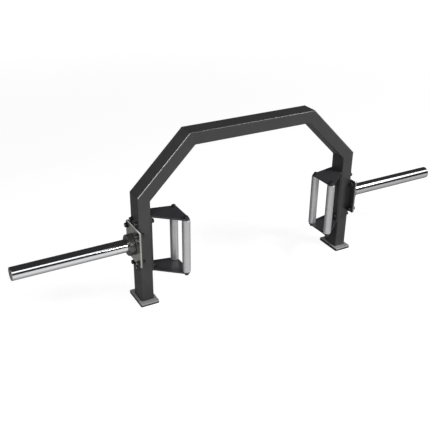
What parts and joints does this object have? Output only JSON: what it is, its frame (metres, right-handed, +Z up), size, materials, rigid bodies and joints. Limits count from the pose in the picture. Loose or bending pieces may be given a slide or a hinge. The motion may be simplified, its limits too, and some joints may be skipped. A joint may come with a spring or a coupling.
{
  "type": "open hex trap bar",
  "caption": "Open trap bar: a mitred tube arch on two padded feet, a turning loading sleeve outside each leg and a pair of upright knurled grips inside it.",
  "frame": {"origin": "on the floor, at the middle of the bar's overall length and depth", "axes": "+X along the sleeves to the right-hand end, +Y towards the open back, +Z up"},
  "size_m": [1.91, 0.189, 0.663],
  "materials": {
    "frame_paint": "satin powder coat",
    "handle_paint": "satin powder coat",
    "foot_steel": "zinc plated",
    "pad_rubber": "matt",
    "flange_steel": "zinc plated",
    "sleeve_chrome": "polished",
    "collar_steel": "turned and blackened",
    "grip_steel": "knurled, satin plated",
    "bolt_black": "black oxide",
    "turned_steel": "turned",
    "bush_bronze": "sintered bronze"
  },
  "bodies": {
    "root": {"top_tube": "frame_paint", "diagonal_left": "frame_paint", "diagonal_right": "frame_paint", "leg_left": "frame_paint", "leg_right": "frame_paint", "foot_plate_left": "foot_steel", "foot_plate_right": "foot_steel", "foot_pad_left": "pad_rubber", "foot_pad_right": "pad_rubber", "foot_screws_left": "turned_steel", "foot_screws_right": "turned_steel", "hub_plate_left": "frame_paint", "hub_plate_right": "frame_paint", "sleeve_flange_left": "flange_steel", "sleeve_flange_right": "flange_steel", "hub_ring_left": "collar_steel", "hub_ring_right": "collar_steel", "spindle_left": "turned_steel", "spindle_right": "turned_steel", "thrust_washer_left": "bush_bronze", "thrust_washer_right": "bush_bronze", "retaining_washer_left": "turned_steel", "retaining_washer_right": "turned_steel", "retaining_bolt_left": "turned_steel", "retaining_bolt_right": "turned_steel", "flange_bolts_left": "bolt_black", "flange_bolts_right": "bolt_black", "flange_nuts_left": "bolt_black", "flange_nuts_right": "bolt_black", "bracket_plate_left": "handle_paint", "bracket_plate_right": "handle_paint", "handle_arm_upper_left": "handle_paint", "handle_arm_upper_right": "handle_paint", "handle_arm_lower_left": "handle_paint", "handle_arm_lower_right": "handle_paint", "grip_rear_left": "grip_steel", "grip_rear_right": "grip_steel", "grip_front_left": "grip_steel", "grip_front_right": "grip_steel", "grip_screws_left": "bolt_black", "grip_screws_right": "bolt_black", "bracket_bolts_left": "bolt_black", "bracket_bolts_right": "bolt_black", "bracket_nuts_left": "bolt_black", "bracket_nuts_right": "bolt_black"},
    "sleeve_rotor_left": {"sleeve_left": "sleeve_chrome", "collar_left": "collar_steel", "inner_bush_left": "bush_bronze", "outer_bush_left": "bush_bronze", "end_cap_left": "sleeve_chrome"},
    "sleeve_rotor_right": {"sleeve_right": "sleeve_chrome", "collar_right": "collar_steel", "inner_bush_right": "bush_bronze", "outer_bush_right": "bush_bronze", "end_cap_right": "sleeve_chrome"}
  },
  "joints": [
    {"name": "sleeve_spin_left", "type": "hinge", "parent": "root", "child": "sleeve_rotor_left", "pos_m": [-0.738, 0.0275, 0.25], "axis": [1, 0, 0], "continuous": true},
    {"name": "sleeve_spin_right", "type": "hinge", "parent": "root", "child": "sleeve_rotor_right", "pos_m": [0.738, 0.0275, 0.25], "axis": [1, 0, 0], "continuous": true}
  ]
}
